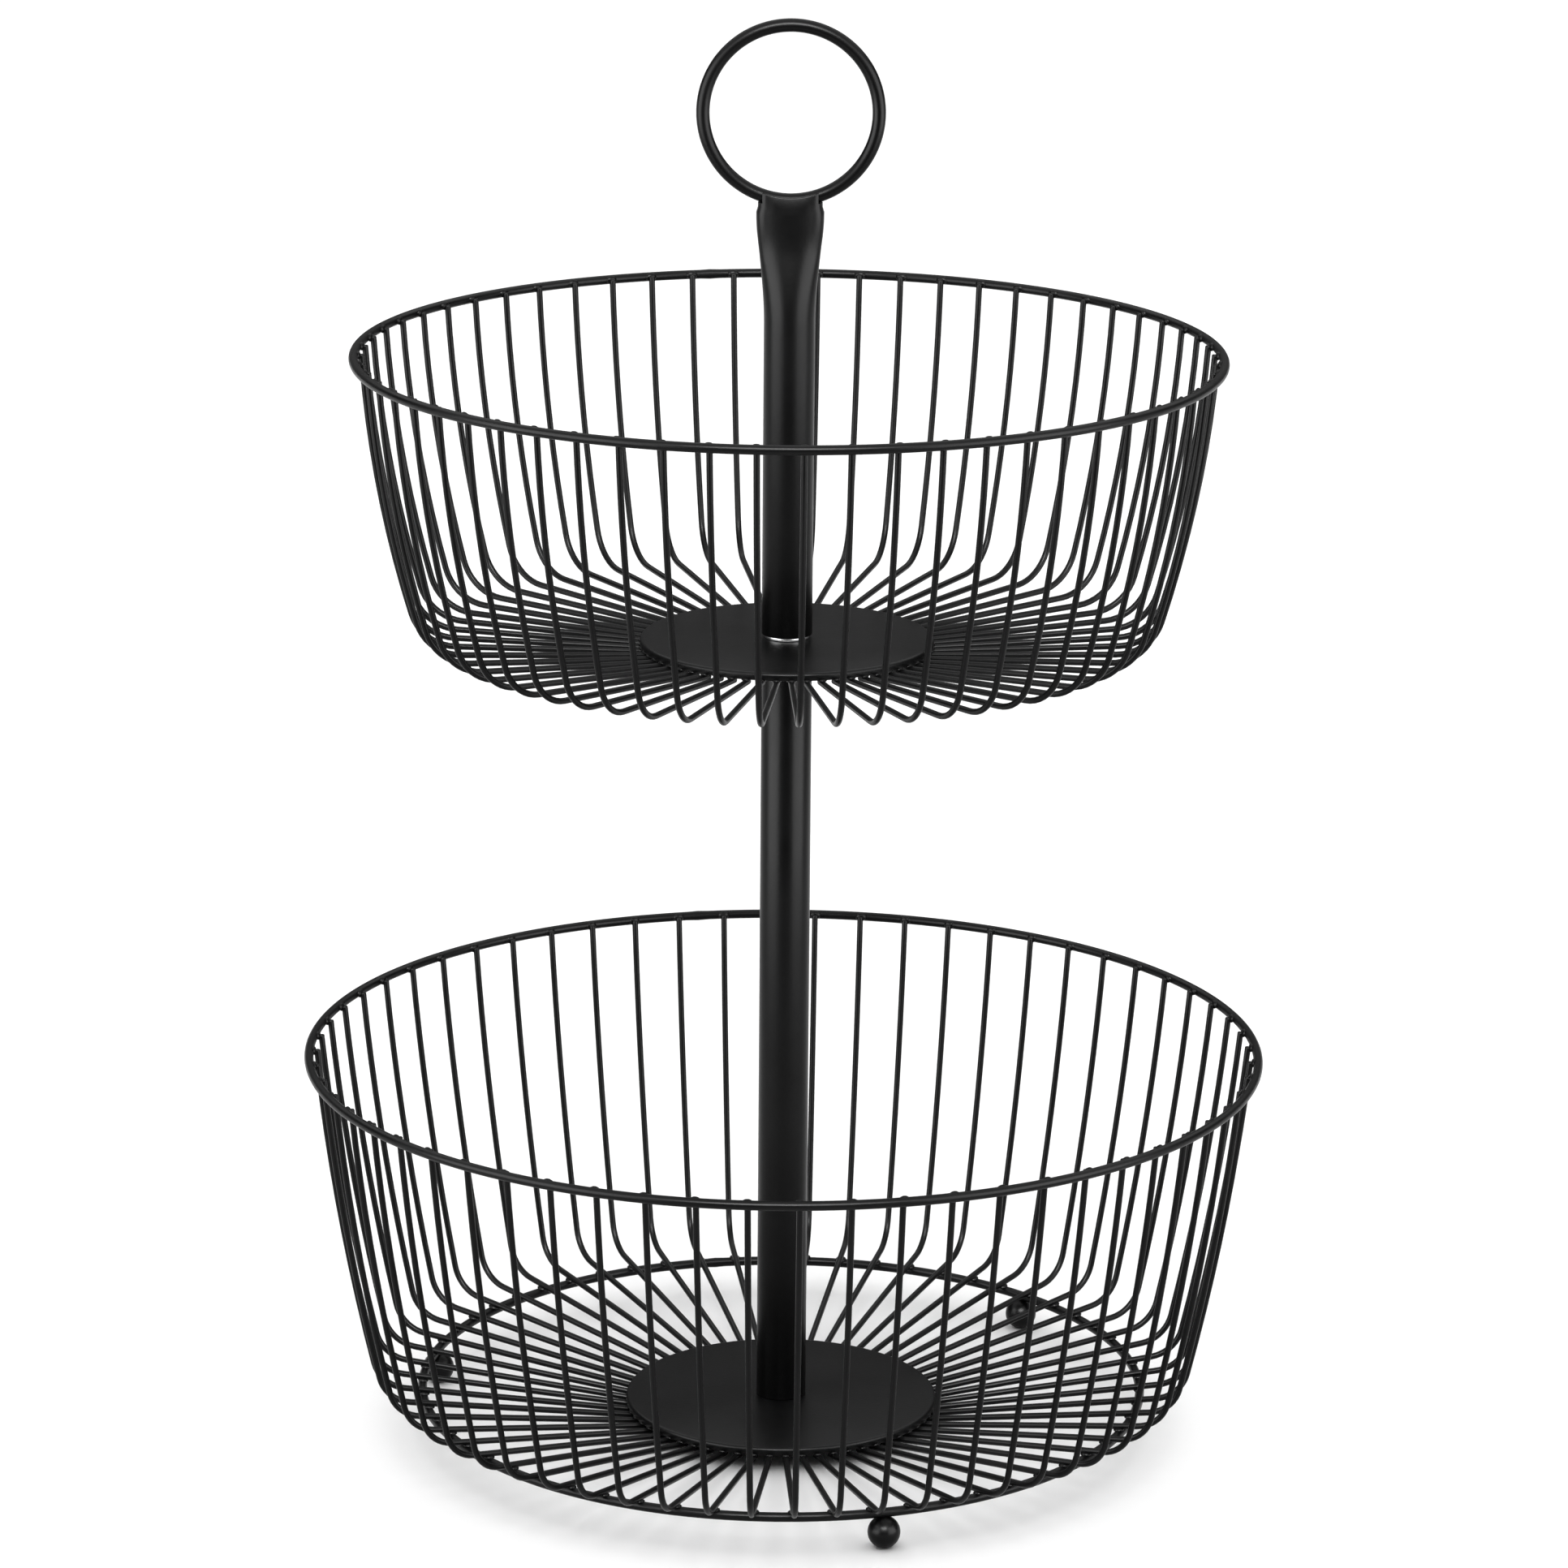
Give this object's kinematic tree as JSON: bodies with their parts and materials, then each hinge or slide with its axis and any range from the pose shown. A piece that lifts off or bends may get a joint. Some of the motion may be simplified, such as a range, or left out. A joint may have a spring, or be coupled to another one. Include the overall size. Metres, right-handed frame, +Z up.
{
  "type": "tiered wire basket",
  "caption": "Tiered wire basket: round open wire bowls of different sizes on a central tube with a ring handle and ball feet, for fruit and kitchen goods.",
  "frame": {"origin": "on the column's axis, on the plane that the feet stand on", "axes": "+Z up along the column, the ring handle lies in the XZ plane, and -Y faces the viewer of the picture"},
  "size_m": [0.308, 0.308, 0.4591],
  "materials": {
    "black_coat": "satin black powder coat",
    "zinc_steel": "bright zinc plate"
  },
  "bodies": {
    "lower_tier": {"ball_foot_1": "black_coat", "ball_foot_2": "black_coat", "ball_foot_3": "black_coat", "base_ring": "black_coat", "base_screw": "zinc_steel", "base_washer": "zinc_steel", "joining_stud": "zinc_steel", "lower_hub_disc": "black_coat", "lower_ribs_01": "black_coat", "lower_ribs_02": "black_coat", "lower_ribs_03": "black_coat", "lower_ribs_04": "black_coat", "lower_ribs_05": "black_coat", "lower_ribs_06": "black_coat", "lower_ribs_07": "black_coat", "lower_ribs_08": "black_coat", "lower_ribs_09": "black_coat", "lower_ribs_10": "black_coat", "lower_ribs_11": "black_coat", "lower_ribs_12": "black_coat", "lower_rim": "black_coat", "lower_tube": "black_coat", "lower_tube_bottom_insert": "zinc_steel", "lower_tube_top_insert": "zinc_steel"},
    "upper_tier": {"upper_hub_disc": "black_coat", "upper_ribs_01": "black_coat", "upper_ribs_02": "black_coat", "upper_ribs_03": "black_coat", "upper_ribs_04": "black_coat", "upper_ribs_05": "black_coat", "upper_ribs_06": "black_coat", "upper_ribs_07": "black_coat", "upper_ribs_08": "black_coat", "upper_ribs_09": "black_coat", "upper_ribs_10": "black_coat", "upper_ribs_11": "black_coat", "upper_ribs_12": "black_coat", "upper_rim": "black_coat"},
    "joint_washer": {"joint_washer": "zinc_steel"},
    "handle": {"upper_tube": "black_coat", "upper_tube_insert": "zinc_steel", "handle_ring": "black_coat"}
  },
  "joints": [
    {"name": "upper_tier_turn", "type": "hinge", "parent": "lower_tier", "child": "upper_tier", "pos_m": [0, 0, 0.26], "axis": [0, 0, 1], "continuous": true},
    {"name": "handle_rise", "type": "slide", "parent": "lower_tier", "child": "joint_washer", "axis": [0, 0, 1], "range_m": [0, 0.012]},
    {"name": "handle_turn", "type": "hinge", "parent": "joint_washer", "child": "handle", "pos_m": [0, 0, 0.264], "axis": [0, 0, 1], "range_deg": [0, 4320.01]}
  ],
  "couplings": [
    {"joint": "handle_turn", "follows": "handle_rise", "rad_per_m": 6283.2}
  ]
}
